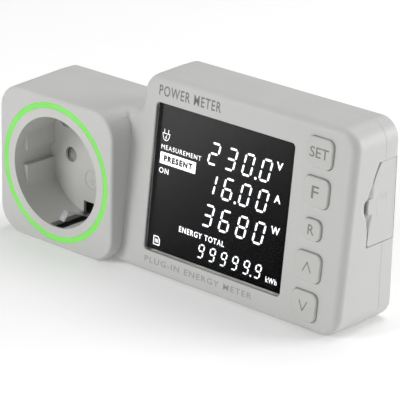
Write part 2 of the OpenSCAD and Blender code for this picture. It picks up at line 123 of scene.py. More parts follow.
# ---------------------------------------------------------------- materials
def new_material(name):
    """A material with its Principled shader, node tree and object coordinates."""
    material = bpy.data.materials.new(name)
    material.use_nodes = True
    tree = material.node_tree
    shader = tree.nodes["Principled BSDF"]
    coords = tree.nodes.new("ShaderNodeTexCoord")
    return material, tree, shader, coords.outputs["Object"]


def noise(tree, coords, scale, detail=2.0, stretch=(1, 1, 1)):
    """Noise in object space; scale is in features per metre."""
    mapping = tree.nodes.new("ShaderNodeMapping")
    mapping.inputs["Scale"].default_value = stretch
    tree.links.new(coords, mapping.inputs["Vector"])
    texture = tree.nodes.new("ShaderNodeTexNoise")
    texture.inputs["Scale"].default_value = scale
    texture.inputs["Detail"].default_value = detail
    tree.links.new(mapping.outputs["Vector"], texture.inputs["Vector"])
    return texture.outputs["Fac"]


def ramp(tree, factor, stops):
    """Colour ramp through (position, colour) stops."""
    node = tree.nodes.new("ShaderNodeValToRGB")
    elements = node.color_ramp.elements
    while len(elements) < len(stops):
        elements.new(0.5)
    for element, (position, colour) in zip(elements, stops):
        element.position = position
        element.color = colour
    tree.links.new(factor, node.inputs["Fac"])
    return node.outputs["Color"]


def shade(colour, amount):
    """The same colour, lighter or darker."""
    return tuple(min(1.0, c * amount) for c in colour[:3]) + (1.0,)


def add_bump(tree, shader, height, distance):
    """Fine relief, distance millimetres high."""
    bump = tree.nodes.new("ShaderNodeBump")
    bump.inputs["Strength"].default_value = 1.0
    bump.inputs["Distance"].default_value = distance * MM
    tree.links.new(height, bump.inputs["Height"])
    tree.links.new(bump.outputs["Normal"], shader.inputs["Normal"])


def plastic(name, colour, roughness, grain=3500, grain_height=0.02, spread=0.02, specular=0.5):
    """Moulded plastic: faint colour drift, uneven gloss and a fine spark-eroded grain."""
    material, tree, shader, coords = new_material(name)
    drift = noise(tree, coords, 45, 3.0)
    stops = [(0.3, shade(colour, 1 - spread)), (0.7, shade(colour, 1 + spread))]
    tree.links.new(ramp(tree, drift, stops), shader.inputs["Base Color"])
    gloss = noise(tree, coords, 420, 2.0)
    low = (roughness - 0.05,) * 3 + (1,)
    high = (roughness + 0.05,) * 3 + (1,)
    tree.links.new(ramp(tree, gloss, [(0.3, low), (0.7, high)]), shader.inputs["Roughness"])
    shader.inputs["Specular IOR Level"].default_value = specular
    add_bump(tree, shader, noise(tree, coords, grain, 1.0), grain_height)
    return material


def metal(name, colour, roughness, stretch, wear=0.25):
    """Drawn or rolled metal: fine lines along one direction, with duller patches."""
    material, tree, shader, coords = new_material(name)
    shader.inputs["Metallic"].default_value = 1.0
    lines = noise(tree, coords, 1800, 3.0, stretch)
    tarnish = noise(tree, coords, 160, 4.0)
    stops = [(0.35, shade(colour, 1 - wear)), (0.65, colour)]
    tree.links.new(ramp(tree, tarnish, stops), shader.inputs["Base Color"])
    low = (roughness - 0.08,) * 3 + (1,)
    high = (roughness + 0.12,) * 3 + (1,)
    tree.links.new(ramp(tree, lines, [(0.3, low), (0.7, high)]), shader.inputs["Roughness"])
    add_bump(tree, shader, lines, 0.01)
    return material


def glow(name, colour, light, strength, roughness=0.35, front=None):
    """Translucent plastic lit from behind, a little uneven between its lamps.

    With front, only the stretch down to 0.6 mm behind that depth glows.
    """
    material, tree, shader, coords = new_material(name)
    shader.inputs["Base Color"].default_value = colour
    shader.inputs["Roughness"].default_value = roughness
    uneven = noise(tree, coords, 130, 2.0)
    stops = [(0.3, shade(light, 0.93)), (0.7, shade(light, 1.04))]
    light_out = ramp(tree, uneven, stops)
    if front is not None:
        separate = tree.nodes.new("ShaderNodeSeparateXYZ")
        tree.links.new(coords, separate.inputs["Vector"])
        near = tree.nodes.new("ShaderNodeMapRange")
        near.inputs["From Min"].default_value = (front + 0.6) * MM
        near.inputs["From Max"].default_value = (front + 0.5) * MM
        tree.links.new(separate.outputs["Y"], near.inputs["Value"])
        dim = tree.nodes.new("ShaderNodeMix")
        dim.data_type = "RGBA"
        dim.inputs["A"].default_value = (0, 0, 0, 1)
        tree.links.new(near.outputs["Result"], dim.inputs["Factor"])
        tree.links.new(light_out, dim.inputs["B"])
        light_out = dim.outputs["Result"]
    tree.links.new(light_out, shader.inputs["Emission Color"])
    shader.inputs["Emission Strength"].default_value = strength
    add_bump(tree, shader, noise(tree, coords, 2500, 1.0), 0.01)
    return material


def board_material(name):
    """Circuit board: green solder mask over a maze of slightly lighter tracks."""
    material, tree, shader, coords = new_material(name)
    mapping = tree.nodes.new("ShaderNodeMapping")
    mapping.inputs["Rotation"].default_value = (radians(90), 0, 0)
    tree.links.new(coords, mapping.inputs["Vector"])
    bricks = tree.nodes.new("ShaderNodeTexBrick")
    bricks.inputs["Scale"].default_value = 420
    bricks.inputs["Mortar Size"].default_value = 0.05
    bricks.inputs["Color1"].default_value = srgb(18, 96, 56)
    bricks.inputs["Color2"].default_value = srgb(20, 88, 52)
    bricks.inputs["Mortar"].default_value = srgb(48, 128, 78)
    tree.links.new(mapping.outputs["Vector"], bricks.inputs["Vector"])
    tree.links.new(bricks.outputs["Color"], shader.inputs["Base Color"])
    shader.inputs["Roughness"].default_value = 0.28
    shader.inputs["Coat Weight"].default_value = 0.3
    add_bump(tree, shader, noise(tree, coords, 900, 2.0), 0.01)
    return material


def lens_material(name, tint, roughness, ior):
    """Clear cover with a faint, uneven tint."""
    material, tree, shader, coords = new_material(name)
    shader.inputs["Transmission Weight"].default_value = 1.0
    shader.inputs["IOR"].default_value = ior
    shader.inputs["Roughness"].default_value = roughness
    drift = noise(tree, coords, 60, 4.0, (1, 1, 3))
    stops = [(0.45, tint), (0.7, shade(tint, 0.98))]
    tree.links.new(ramp(tree, drift, stops), shader.inputs["Base Color"])
    return material


def panel_material(name):
    """Liquid crystal glass: near black, with a painted reflection in its emission that is brightest at
    the upper left and fades to near black at the lower right, and darker along its left edge.
    """
    material, tree, shader, coords = new_material(name)
    shader.inputs["Base Color"].default_value = srgb(8, 8, 10)
    shader.inputs["Roughness"].default_value = 0.5
    shader.inputs["Specular IOR Level"].default_value = 0.03
    separate = tree.nodes.new("ShaderNodeSeparateXYZ")
    tree.links.new(coords, separate.inputs["Vector"])
    across = tree.nodes.new("ShaderNodeMapRange")
    across.inputs["From Min"].default_value = WINDOW[0] * MM
    across.inputs["From Max"].default_value = WINDOW[1] * MM
    across.inputs["To Min"].default_value = 0.0
    across.inputs["To Max"].default_value = 0.5
    tree.links.new(separate.outputs["X"], across.inputs["Value"])
    up = tree.nodes.new("ShaderNodeMapRange")
    up.inputs["From Min"].default_value = WINDOW[3] * MM
    up.inputs["From Max"].default_value = WINDOW[2] * MM
    up.inputs["To Min"].default_value = 0.0
    up.inputs["To Max"].default_value = 0.62
    tree.links.new(separate.outputs["Z"], up.inputs["Value"])
    total = tree.nodes.new("ShaderNodeMath")
    total.operation = "ADD"
    tree.links.new(across.outputs["Result"], total.inputs[0])
    tree.links.new(up.outputs["Result"], total.inputs[1])
    # painted reflection: emission brightest at the window's upper left, fading towards its lower right
    painted_reflection = ramp(tree, total.outputs["Value"], [
        (0.0, srgb(73, 73, 73)),
        (0.2, srgb(67, 67, 67)),
        (0.45, srgb(46, 46, 46)),
        (0.7, srgb(25, 25, 25)),
        (1.0, srgb(5, 5, 5)),
    ])
    # a darker band down the left edge of the window, in place of the painted reflection
    edge = tree.nodes.new("ShaderNodeMapRange")
    edge.inputs["From Min"].default_value = (WINDOW[0] + 0.8) * MM
    edge.inputs["From Max"].default_value = (WINDOW[0] + 1.5) * MM
    tree.links.new(separate.outputs["X"], edge.inputs["Value"])
    painted_panel_light = tree.nodes.new("ShaderNodeMix")
    painted_panel_light.data_type = "RGBA"
    painted_panel_light.inputs["A"].default_value = srgb(33, 33, 34)
    tree.links.new(edge.outputs["Result"], painted_panel_light.inputs["Factor"])
    tree.links.new(painted_reflection, painted_panel_light.inputs["B"])
    tree.links.new(painted_panel_light.outputs["Result"], shader.inputs["Emission Color"])
    shader.inputs["Emission Strength"].default_value = 1.0
    return material


MATERIALS = {
    "shell": plastic("shell_plastic", srgb(199, 199, 197), 0.48),
    # a touch lighter than the shell: painted fill light for the shaded recess
    "socket": plastic("socket_plastic", srgb(201, 201, 198), 0.42, grain=2600, grain_height=0.01),
    "plug": plastic("plug_plastic", srgb(190, 190, 188), 0.45),
    "keys": plastic("key_plastic", srgb(196, 196, 193), 0.5, grain=4200),
    "light_ring": glow("ring_glow", srgb(70, 150, 60), srgb(134, 221, 96), 0.7, 0.35, FRONT),
    "window": lens_material("lens_clear", (0.93, 0.93, 0.94, 1), 0.0, 1.05),
    "lcd": panel_material("panel_glass"),
    "white_plastic": plastic("white_plastic", srgb(226, 226, 220), 0.45, grain=1500),
    "shutter_plastic": plastic("shutter_plastic", srgb(170, 170, 166), 0.4, grain=1500),
    "board": board_material("solder_mask"),
    "black_plastic": plastic("black_plastic", srgb(38, 38, 40), 0.5, grain=2200, spread=0.1),
    "sleeve": plastic("printed_sleeve", srgb(34, 36, 60), 0.25, grain=900, spread=0.1),
    "yellow_plastic": plastic("yellow_plastic", srgb(214, 180, 70), 0.42, grain=1500),
    "blue_coating": plastic("dipped_coating", srgb(38, 84, 168), 0.3, grain=700, grain_height=0.05),
    "lamp": glow("lamp_body", srgb(230, 232, 214), srgb(200, 255, 180), 0.02, 0.2),
    "plunger": plastic("plunger_plastic", srgb(196, 84, 60), 0.45),
    "fuse_glass": metal("fuse_caps", srgb(206, 206, 204), 0.25, (1, 20, 20)),
    "brass": metal("nickelled_brass", srgb(206, 196, 164), 0.26, (20, 1, 20), 0.12),
    "copper": metal("bare_copper", srgb(198, 132, 98), 0.32, (1, 16, 16)),
    "steel": metal("zinc_steel", srgb(205, 206, 208), 0.28, (1, 14, 14), 0.15),
    "readout": glow("readout_light", (0.8, 0.8, 0.8, 1), srgb(255, 255, 255), 1.3),
    "print": plastic("printed_ink", srgb(120, 120, 120), 0.5),
    "print_faint": plastic("faint_ink", srgb(158, 158, 156), 0.5),
    "key_print": plastic("key_ink", srgb(128, 128, 126), 0.5),
    "mask": plastic("printed_mask", srgb(10, 10, 11), 0.35),
}
SLOT_OF = {part["node"]: part["material_slot"] for part in frame["record"]["subparts"]}
BODY_OF = {
    node: body
    for body, nodes in frame["record"]["behaviour"]["bodies"].items()
    for node in nodes
}


# ---------------------------------------------------------------- mesh helpers
def mesh_object(name, points, faces):
    """A mesh from points in millimetres, with its faces turned outwards."""
    mesh = bpy.data.meshes.new(name)
    mesh.from_pydata([Vector(p) * MM for p in points], [], faces)
    work = bmesh.new()
    work.from_mesh(mesh)
    bmesh.ops.recalc_face_normals(work, faces=work.faces)
    work.to_mesh(mesh)
    work.free()
    piece = bpy.data.objects.new(name, mesh)
    scene.collection.objects.link(piece)
    return piece


def loft(name, rings):
    """A closed skin through rings of equal count, with both ends capped."""
    count = len(rings[0])
    points = [point for ring in rings for point in ring]
    faces = [
        (k * count + i, k * count + (i + 1) % count,
         (k + 1) * count + (i + 1) % count, (k + 1) * count + i)
        for k in range(len(rings) - 1)
        for i in range(count)
    ]
    faces.append(tuple(range(count)))
    faces.append(tuple(range(len(points) - count, len(points))))
    return mesh_object(name, points, faces)


def arc(centre, radius, start, end, steps=10):
    """Points on an arc, angles in degrees."""
    angles = [radians(start + (end - start) * k / steps) for k in range(steps + 1)]
    return [(centre[0] + radius * cos(a), centre[1] + radius * sin(a)) for a in angles]


def rounded_rect(x0, x1, z0, z1, radius, steps=8):
    """Outline of a rectangle with round corners."""
    return (
        arc((x0 + radius, z0 + radius), radius, 180, 270, steps)
        + arc((x1 - radius, z0 + radius), radius, 270, 360, steps)
        + arc((x1 - radius, z1 - radius), radius, 0, 90, steps)
        + arc((x0 + radius, z1 - radius), radius, 90, 180, steps)
    )


def block(name, low, high):
    """A cutter with straight sides between two corners."""
    corners = ((low[0], low[1]), (high[0], low[1]), (high[0], high[1]), (low[0], high[1]))
    return loft(name, [[(x, y, z) for x, y in corners] for z in (low[2], high[2])])


def capsule(start, end, width, steps):
    """Outline of a stroke with round ends, or blunt points with few steps."""
    angle = degrees(atan2(end[1] - start[1], end[0] - start[0]))
    return (
        arc(end, width / 2, angle - 90, angle + 90, steps)
        + arc(start, width / 2, angle + 90, angle + 270, steps)
    )


def polyline(points, width):
    """Strokes along a run of points."""
    return [capsule(start, end, width, 3) for start, end in zip(points, points[1:])]


def slabs(name, outlines, place, low, high):
    """Thin flat pieces: place turns an outline's point and its lift into a point in space."""
    points, faces = [], []
    for outline in outlines:
        base, count = len(points), len(outline)
        for lift in (low, high):
            points += [place(a, b, lift) for a, b in outline]
        faces.append(tuple(range(base, base + count)))
        faces.append(tuple(range(base + count, base + 2 * count)))
        faces += [
            (base + i, base + (i + 1) % count, base + count + (i + 1) % count, base + count + i)
            for i in range(count)
        ]
    return mesh_object(name, points, faces)


def evaluated(piece):
    """The piece with its modifiers applied."""
    bpy.context.view_layer.update()
    graph = bpy.context.evaluated_depsgraph_get()
    mesh = bpy.data.meshes.new_from_object(piece.evaluated_get(graph))
    piece.modifiers.clear()
    piece.data = mesh
    return piece


def combine(piece, other, operation):
    """Boolean of two closed pieces; the other one is used up."""
    modifier = piece.modifiers.new("combine", "BOOLEAN")
    modifier.operation = operation
    modifier.solver = "MANIFOLD"
    modifier.object = other
    evaluated(piece)
    bpy.data.objects.remove(other)
    return piece


def cad_copy(node, name):
    """A welded copy of a CAD node's mesh, with its flat faces merged."""
    piece = bpy.data.objects.new(name, frame["nodes"][node].data.copy())
    piece.data.materials.clear()
    scene.collection.objects.link(piece)
    work = bmesh.new()
    work.from_mesh(piece.data)
    bmesh.ops.remove_doubles(work, verts=work.verts, dist=1e-6)
    bmesh.ops.dissolve_limit(
        work, angle_limit=radians(0.5), verts=work.verts, edges=work.edges
    )
    work.to_mesh(piece.data)
    work.free()
    return piece


def soften(piece, width):
    """Rounds the sharp edges, then shades the piece so that flat faces stay flat."""
    if width:
        bevel = piece.modifiers.new("soften", "BEVEL")
        bevel.width = width * MM
        bevel.segments = 2
        bevel.limit_method = "ANGLE"
        bevel.angle_limit = radians(30)
        bevel.use_clamp_overlap = True
        evaluated(piece)
    piece.data.shade_smooth()
    piece.data.set_sharp_from_angle(angle=radians(40))
    weighted = piece.modifiers.new("shading", "WEIGHTED_NORMAL")
    weighted.keep_sharp = True
    evaluated(piece)
    return piece


def finish_piece(piece, body, material, nodes=()):
    """Gives a piece its material and its body, and hides the CAD nodes it stands for."""
    piece.data.materials.clear()
    piece.data.materials.append(MATERIALS[material])
    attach(piece, body)
    if nodes:
        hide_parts(*nodes)
    return piece


def stand_for(piece, node):
    """The piece takes the place, body and material of one CAD node, the material being that of the
    node's slot.
    """
    slot = SLOT_OF[node]
    return finish_piece(piece, BODY_OF[node], slot, [node])


# ---------------------------------------------------------------- housing
def housing_path(inset, left, left_r, front=0.0):
    """Outline in X and Z of both blocks and the bridge, inset all round.

    front runs from 0 at the parting line to 1 at the front, where corners are rounder.
    """
    corner = left_r - inset
    display_r = DISPLAY_R + DISPLAY_R_GROWTH * front
    ring = arc((left + left_r, left_r), corner, 180, 270)
    ring += arc((RIGHT - display_r, display_r), display_r - inset, 270, 360)
    ring += arc((RIGHT - display_r, DISPLAY_TOP - display_r), display_r - inset, 0, 90)
    ring += arc((DISPLAY_LEFT + display_r, DISPLAY_TOP - display_r), display_r - inset, 90, 180)
    ring += arc((DISPLAY_LEFT - BRIDGE_R, SOCKET_TOP + BRIDGE_R), BRIDGE_R + inset, 360, 270)
    ring += arc((left + left_r, SOCKET_TOP - left_r), corner, 90, 180)
    return ring


def socket_path(inset, front=0.0):
    """Outline of the socket block alone, inset all round."""
    radius = SOCKET_R + SOCKET_R_GROWTH * front - inset
    return rounded_rect(LEFT + inset, -LEFT - inset, inset, SOCKET_TOP - inset, radius, 10)


def draft_at(y, draft=DRAFT):
    """Inset of the moulding at a depth: least at the parting line."""
    return SKIN + draft * (SPLIT - min(y, SPLIT)) / (SPLIT - FOOT)


def drafted(path, y_at, extra, draft):
    """A ring of the outline at y_at(z), inset by the draft there and by extra."""
    ring = []
    for (x0, z0), (x1, z1), (x2, z2) in zip(path(0), path(1), path(0, 1.0)):
        y = y_at(z0)
        inset = draft_at(y, draft) + extra
        front = (SPLIT - min(y, SPLIT)) / (SPLIT - FOOT)
        x = x0 + inset * (x1 - x0) + front * (x2 - x0)
        z = z0 + inset * (z1 - z0) + front * (z2 - z0)
        ring.append((x, y_at(z), z))
    return ring


def face_y(z):
    """Depth of the tilted face at a height."""
    return FOOT + z * tan(TILT)


def front_rings(path, surface, edge_r, draft, steps=8):
    """Rings from a rounded front edge back past the parting line, which has a fine chamfer."""
    rings = []
    for k in range(steps + 1):
        angle = radians(90 * k / steps)
        depth = SKIN + edge_r * (1 - cos(angle))
        inwards = edge_r * (1 - sin(angle))
        rings.append(drafted(path, lambda z: surface(z) + depth, inwards, draft))
    rings.append(drafted(path, lambda z: SPLIT - GROOVE, 0, draft))
    rings.append(drafted(path, lambda z: SPLIT, GROOVE, draft))
    rings.append(drafted(path, lambda z: SPLIT + 1, GROOVE, draft))
    return rings


def opening_flare(name, ring_at, edge, steps=4):
    """A cutter that rounds the rim of an opening: wide at the surface, narrowing inwards.

    ring_at(margin, depth) is the opening's outline, grown by margin, at a depth below the face.
    """
    rings = [ring_at(edge + 0.4, SKIN - 0.4)]
    for k in range(steps + 1):
        angle = radians(90 * k / steps)
        rings.append(ring_at(edge * (1 - sin(angle)), SKIN + edge * (1 - cos(angle))))
    rings.append(ring_at(-0.6, SKIN + edge + 0.6))
    return loft(name, rings)


def on_face(x, up, off):
    """A point on the tilted face, in the row frame: x, height up the face, height off it."""
    return tuple(FACE @ Vector((x, up, off)))


def key_ring(centre, size, margin, off):
    """Outline of a key grown by margin, off the face."""
    width, height = size[0] / 2 + margin, size[1] / 2 + margin
    ring = rounded_rect(
        centre[0] - width, centre[0] + width, centre[1] - height, centre[1] + height,
        2.2 + margin,
    )
    return [on_face(x, up, off) for x, up in ring]


KEY_X = 107.7                             # the middle of the key column
KEY_GAP = 0.25                            # round each key in the CAD model
KEY_GROW = 0.1                            # a finished key fills its opening a little more
KEY_ROWS = {                              # height up the face, width, height
    "set": (59.7, 10.2, 9.6),
    "function": (46.8, 10.2, 9.6),
    "reset": (34.4, 7.2, 6.9),
    "up": (22.0, 10.2, 9.6),
    "down": (8.9, 10.2, 9.6),
}


def key_opening(up, width, height):
    """The ring maker of a key's opening, for opening_flare()."""
    return lambda margin, depth: key_ring((KEY_X, up), (width, height), KEY_GAP + margin, -depth)


def front_shell():
    """The front half: drafted blocks with rounded edges, cut from the CAD shape."""
    socket_block = loft(
        "socket_block", front_rings(socket_path, lambda z: FRONT, SOCKET_EDGE, SOCKET_DRAFT)
    )

    def face_path(inset, front=0.0):
        """The display block's outline, run on into the socket block at its left."""
        return housing_path(inset, -LEFT - 12, 1.6, front)

    display_block = loft("display_block", front_rings(face_path, face_y, FACE_EDGE, DRAFT))
    envelope = combine(display_block, socket_block, "UNION")
    shell = combine(cad_copy("front_shell", "front_shell_moulded"), envelope, "INTERSECT")

    def window_ring(margin, depth):
        """Outline of the window's opening, for opening_flare()."""
        ring = rounded_rect(
            WINDOW[0] - margin, WINDOW[1] + margin, WINDOW[2] - margin, WINDOW[3] + margin,
            1.5 + margin,
        )
        return [on_face(x, up, -depth) for x, up in ring]

    cutters = [opening_flare("window_rim", window_ring, 0.35)]
    for row in KEY_ROWS.values():
        cutters.append(opening_flare("key_rim", key_opening(*row), 0.06))
    for cutter in cutters:
        combine(shell, cutter, "DIFFERENCE")
    soften(shell, 0)
    return stand_for(shell, "front_shell")


def rear_shell():
    """The rear half: no draft, a chamfer at the parting line and a rounded rear edge."""
    def path(inset):
        return housing_path(inset, LEFT, SOCKET_R)

    rings = [
        [(x, SPLIT - 1, z) for x, z in path(SKIN + GROOVE)],
        [(x, SPLIT, z) for x, z in path(SKIN + GROOVE)],
        [(x, SPLIT + GROOVE, z) for x, z in path(SKIN)],
    ]
    for k in range(7):
        angle = radians(90 * k / 6)
        y = BACK - SKIN - REAR_EDGE * (1 - sin(angle))
        rings.append([(x, y, z) for x, z in path(SKIN + 0.03 + REAR_EDGE * (1 - cos(angle)))])
    envelope = loft("rear_envelope", rings)
    shell = combine(cad_copy("rear_shell", "rear_shell_moulded"), envelope, "INTERSECT")
    soften(shell, 0)
    return stand_for(shell, "rear_shell")


# ---------------------------------------------------------------- keys
def key(name, up, width, height):
    """A key: skirt behind the wall, straight side, rounded edge and flat top."""
    node = "button_" + name
    size = (width, height)
    centre = (KEY_X, up)
    top = KEY_PROUD - SKIN
    edge = 0.5
    skirt_top = -WALL - 0.1
    rings = [
        key_ring(centre, size, 0.75, skirt_top - 0.88),
        key_ring(centre, size, 0.78, skirt_top - 0.02),
        key_ring(centre, size, KEY_GROW, skirt_top),
        key_ring(centre, size, KEY_GROW, top - edge),
    ]
    for k in range(1, 6):
        angle = radians(90 * k / 5)
        rings.append(key_ring(
            centre, size, KEY_GROW - edge * (1 - cos(angle)), top - edge * (1 - sin(angle))
        ))
    cap = loft(node + "_cap", rings)
    soften(cap, 0)
    return stand_for(cap, node)


# ---------------------------------------------------------------- other CAD nodes
SOFTENED = {
    "ring_light": 0.12, "shutter": 0.2, "plug_base": 0.4, "live_pin": 0.25, "neutral_pin": 0.25,
    "plug_earth_strap": 0.15, "earth_sleeve": 0.15, "card_slot": 0.1, "cell_holder": 0.3,
    "coin_cell": 0.3,
    "transformer": 0.4, "metering_chip": 0.15, "display_chip": 0.12, "board_link": 0.2,
    "filter_capacitor": 0.5, "varistor": 0.8, "smoothing_capacitors": 0.5, "fuse": 0.25,
    "key_switches": 0.25, "lcd_frame": 0.2, "backlight": 0.15, "shutter_guide": 0.15,
    "live_contact": 0.08, "neutral_contact": 0.08, "live_busbar": 0.08, "shunt": 0.15,
    "earth_rivet": 0.2, "ring_leds": 0.08, "ring_board": 0.06, "power_board": 0.08,
    "display_board": 0.08,
}                                         # edge radius of each node that keeps its CAD shape


def softened(node, width):
    """A copy of a CAD node with rounded edges."""
    piece = cad_copy(node, node + "_finished")
    return soften(piece, width)


def softened_node(node, width):
    """The rounded copy in the node's own place."""
    return stand_for(softened(node, width), node)


def socket_cup():
    """The recess, with the slots of its earth springs run on into the rim."""
    piece = cad_copy("socket_cup", "socket_cup_finished")
    for side in (-1, 1):
        near, far = AXIS_Z + side * (RECESS_R - 1.5), AXIS_Z + side * (RECESS_R + 1.3)
        low = (-SLOT_HALF, FRONT + 0.9, min(near, far))
        high = (SLOT_HALF, FRONT + 3.2, max(near, far))
        combine(piece, block("slot_cutter", low, high), "DIFFERENCE")
    soften(piece, 0.25)
    return stand_for(piece, "socket_cup")


def earth_strap():
    """The earth springs, with their free ends trimmed to stand clear of the wall."""
    piece = cad_copy("earth_strap", "earth_strap_finished")
    for side in (-1, 1):
        near, far = AXIS_Z + side * (RECESS_R - 1.2), AXIS_Z + side * (RECESS_R + 4)
        low = (-SLOT_HALF, FRONT + 1, min(near, far))
        high = (SLOT_HALF, FRONT + 4.8, max(near, far))
        combine(piece, block("strap_cutter", low, high), "DIFFERENCE")
    soften(piece, 0.12)
    return stand_for(piece, "earth_strap")


def recess_mark():
    """A faint raised earth symbol in a ring on the recess floor."""
    floor = FRONT + RECESS_DEPTH
    x, z, radius = 1.0, AXIS_Z - 7.0, 3.4
    strokes = []
    circle = [(x + a, z + b) for a, b in arc((0, 0), radius, 0, 360, 24)]
    runs = [
        (circle, 0.3),
        ([(x, z + 2.2), (x, z)], 0.35),
        ([(x - 1.8, z), (x + 1.8, z)], 0.35),
        ([(x - 1.15, z - 0.8), (x + 1.15, z - 0.8)], 0.3),
        ([(x - 0.5, z - 1.6), (x + 0.5, z - 1.6)], 0.3),
    ]
    for run, width in runs:
        strokes += polyline(run, width)

    def on_floor(a, b, lift):
        return (a, floor - lift, b)

    piece = slabs("recess_mark", strokes, on_floor, -0.03, 0.07)
    soften(piece, 0)
    finish_piece(piece, "housing", "socket")


DRIVE_WIDTH = 2.8                         # from end to end of one slot of the drive


def cross_cutter(head, width):
    """Two crossed wedges that sink a drive into a screw head facing +Y."""
    slot = 0.28 * width
    cutter = None
    for wide, high in ((width, slot), (slot, width)):
        rings = []
        for depth, share in ((0.3, 0.5), (-1.0, 0.3)):
            x, z = wide * share, high * share
            corners = ((-x, -z), (x, -z), (x, z), (-x, z))
            rings.append([(head[0] + a, head[1] + depth, head[2] + b) for a, b in corners])
        wedge = loft("drive_cutter", rings)
        cutter = combine(cutter, wedge, "UNION") if cutter else wedge
    return cutter


def housing_screws():
    """The long housing screws, with a crossed drive in each head."""
    piece = softened("housing_screws", 0.2)
    heads = [
        face.center / MM for face in piece.data.polygons
        if face.normal.y > 0.999 and len(face.vertices) > 20 and face.area > 1e-5
    ]
    for head in heads:
        combine(piece, cross_cutter(head, DRIVE_WIDTH), "DIFFERENCE")
    soften(piece, 0)
    return stand_for(piece, "housing_screws")


# ---------------------------------------------------------------- readout
SLANT = 0.2                               # how far a digit leans for each millimetre of height
SEGMENTS = {
    "0": "abcdef", "1": "bc", "2": "abged", "3": "abgcd", "4": "fgbc",
    "5": "afgcd", "6": "afgedc", "7": "abc", "8": "abcdefg", "9": "abcdfg",
}


def digit_outlines(symbol, x, foot, width, height, stroke):
    """Strokes of a seven-segment digit whose centre lines start at (x, foot)."""
    gap = stroke * 0.9
    half = height / 2
    lines = {
        "a": ((gap, height), (width - gap, height)),
        "b": ((width, height - gap), (width, half + gap)),
        "c": ((width, half - gap), (width, gap)),
        "d": ((gap, 0), (width - gap, 0)),
        "e": ((0, half - gap), (0, gap)),
        "f": ((0, height - gap), (0, half + gap)),
        "g": ((gap, half), (width - gap, half)),
    }

    def lean(point):
        return (x + point[0] + SLANT * point[1], foot + point[1])

    return [
        capsule(lean(lines[s][0]), lean(lines[s][1]), stroke, 2) for s in SEGMENTS[symbol]
    ]


def digit_line(digits, x, foot, size, pitch, dot_step, dot_r):
    """Strokes of a line of digits; a point stands dot_step right of the digit before it."""
    width, height, stroke = size
    strokes = []
    for symbol in digits:
        if symbol == ".":
            strokes.append(arc((x - pitch + dot_step, foot - 0.05), dot_r, 0, 345, 23))
            continue
        strokes += digit_outlines(symbol, x, foot, width, height, stroke)
        x += pitch
    return strokes


def plates(name, outlines, low, high):
    """Thin flat pieces standing on the face frame from low to high off the face."""
    return slabs(name, outlines, on_face, low, high)


def lettering(name, words, span, foot, height, off, depth, weight=0.0, squeeze=1.0):
    """Flat capitals on the face frame, filling span from left to right at the given height.

    weight thickens the strokes, and squeeze sets the gaps between letters against their width.
    """
    curve = bpy.data.curves.new(name, "FONT")
    curve.body = words
    curve.size = 1.0
    curve.extrude = 0.05
    curve.offset = weight
    curve.space_character = squeeze
    curve.resolution_u = 3
    holder = bpy.data.objects.new(name, curve)
    scene.collection.objects.link(holder)
    bpy.context.view_layer.update()
    graph = bpy.context.evaluated_depsgraph_get()
    mesh = bpy.data.meshes.new_from_object(holder.evaluated_get(graph))
    bpy.data.objects.remove(holder)
    across = [v.co.x for v in mesh.vertices]
    upwards = [v.co.y for v in mesh.vertices]
    to_corner = Matrix.Translation((-min(across), -min(upwards), 0.05))
    grow = Matrix.Diagonal((
        (span[1] - span[0]) / (max(across) - min(across)),
        height / (max(upwards) - min(upwards)),
        depth / 0.1,
        1,
    ))
    place = Matrix.Translation((span[0], foot, off - depth))
    mesh.transform(Matrix.Scale(MM, 4) @ FACE @ place @ grow @ to_corner)
    piece = bpy.data.objects.new(name, mesh)
    scene.collection.objects.link(piece)
    return piece


READOUT_OFF = -2.56                       # just in front of the panel
PRINT_OFF = -SKIN + 0.01                  # just in front of the moulded face
INK = 0.03                                # thickness of printing and of the lit strokes


def readout():
    """Everything the panel shows: four lines of digits, their units and captions."""
    large, small = (3.6, 7.2, 0.72), (2.1, 4.5, 0.5)      # width, height and stroke of a digit
    strokes = []
    for digits, x, foot in (("230.0", 59.6, 44.0), ("16.00", 59.45, 33.65), ("3680", 59.5, 22.7)):
        strokes += digit_line(digits, x, foot, large, 7.42, 5.95, 0.48)
    strokes += digit_line("99999.9", 58.95, 11.2, small, 4.98, 3.63, 0.36)
    digits_piece = plates("readout_digits", strokes, READOUT_OFF - INK, READOUT_OFF)
    finish_piece(digits_piece, "housing", "readout")
    words = [
        ("readout_volt", "V", (88.6, 91.3), 49.0, 2.7, 0.02),
        ("readout_ampere", "A", (89.0, 91.7), 38.1, 2.7, 0.02),
        ("readout_watt", "W", (89.0, 92.7), 27.6, 2.6, 0.02),
        ("readout_unit", "kWh", (88.9, 93.6), 10.9, 1.9, 0.012),
        ("readout_caption", "ENERGY TOTAL", (50.0, 70.1), 17.5, 2.0, 0.015),
        ("readout_mode", "MEASUREMENT", (38.9, 56.7), 43.8, 1.6, 0.0),
        ("readout_on", "ON", (38.8, 43.0), 35.5, 1.95, 0.008),
    ]
    for name, text, span, foot, height, weight in words:
        piece = lettering(name, text, span, foot, height, READOUT_OFF, INK, weight, 1.2)
        finish_piece(piece, "housing", "readout")
    plate = plates(
        "readout_box", [rounded_rect(38.75, 54.7, 38.8, 42.8, 0.1, 1)],
        READOUT_OFF - INK, READOUT_OFF,
    )
    finish_piece(plate, "housing", "readout")
    word = lettering(
        "readout_box_word", "PRESENT", (40.4, 53.3), 39.7, 2.25,
        READOUT_OFF + 0.05, 0.04, 0.06, 1.25,
    )
    finish_piece(word, "housing", "mask")
    symbol_pieces()


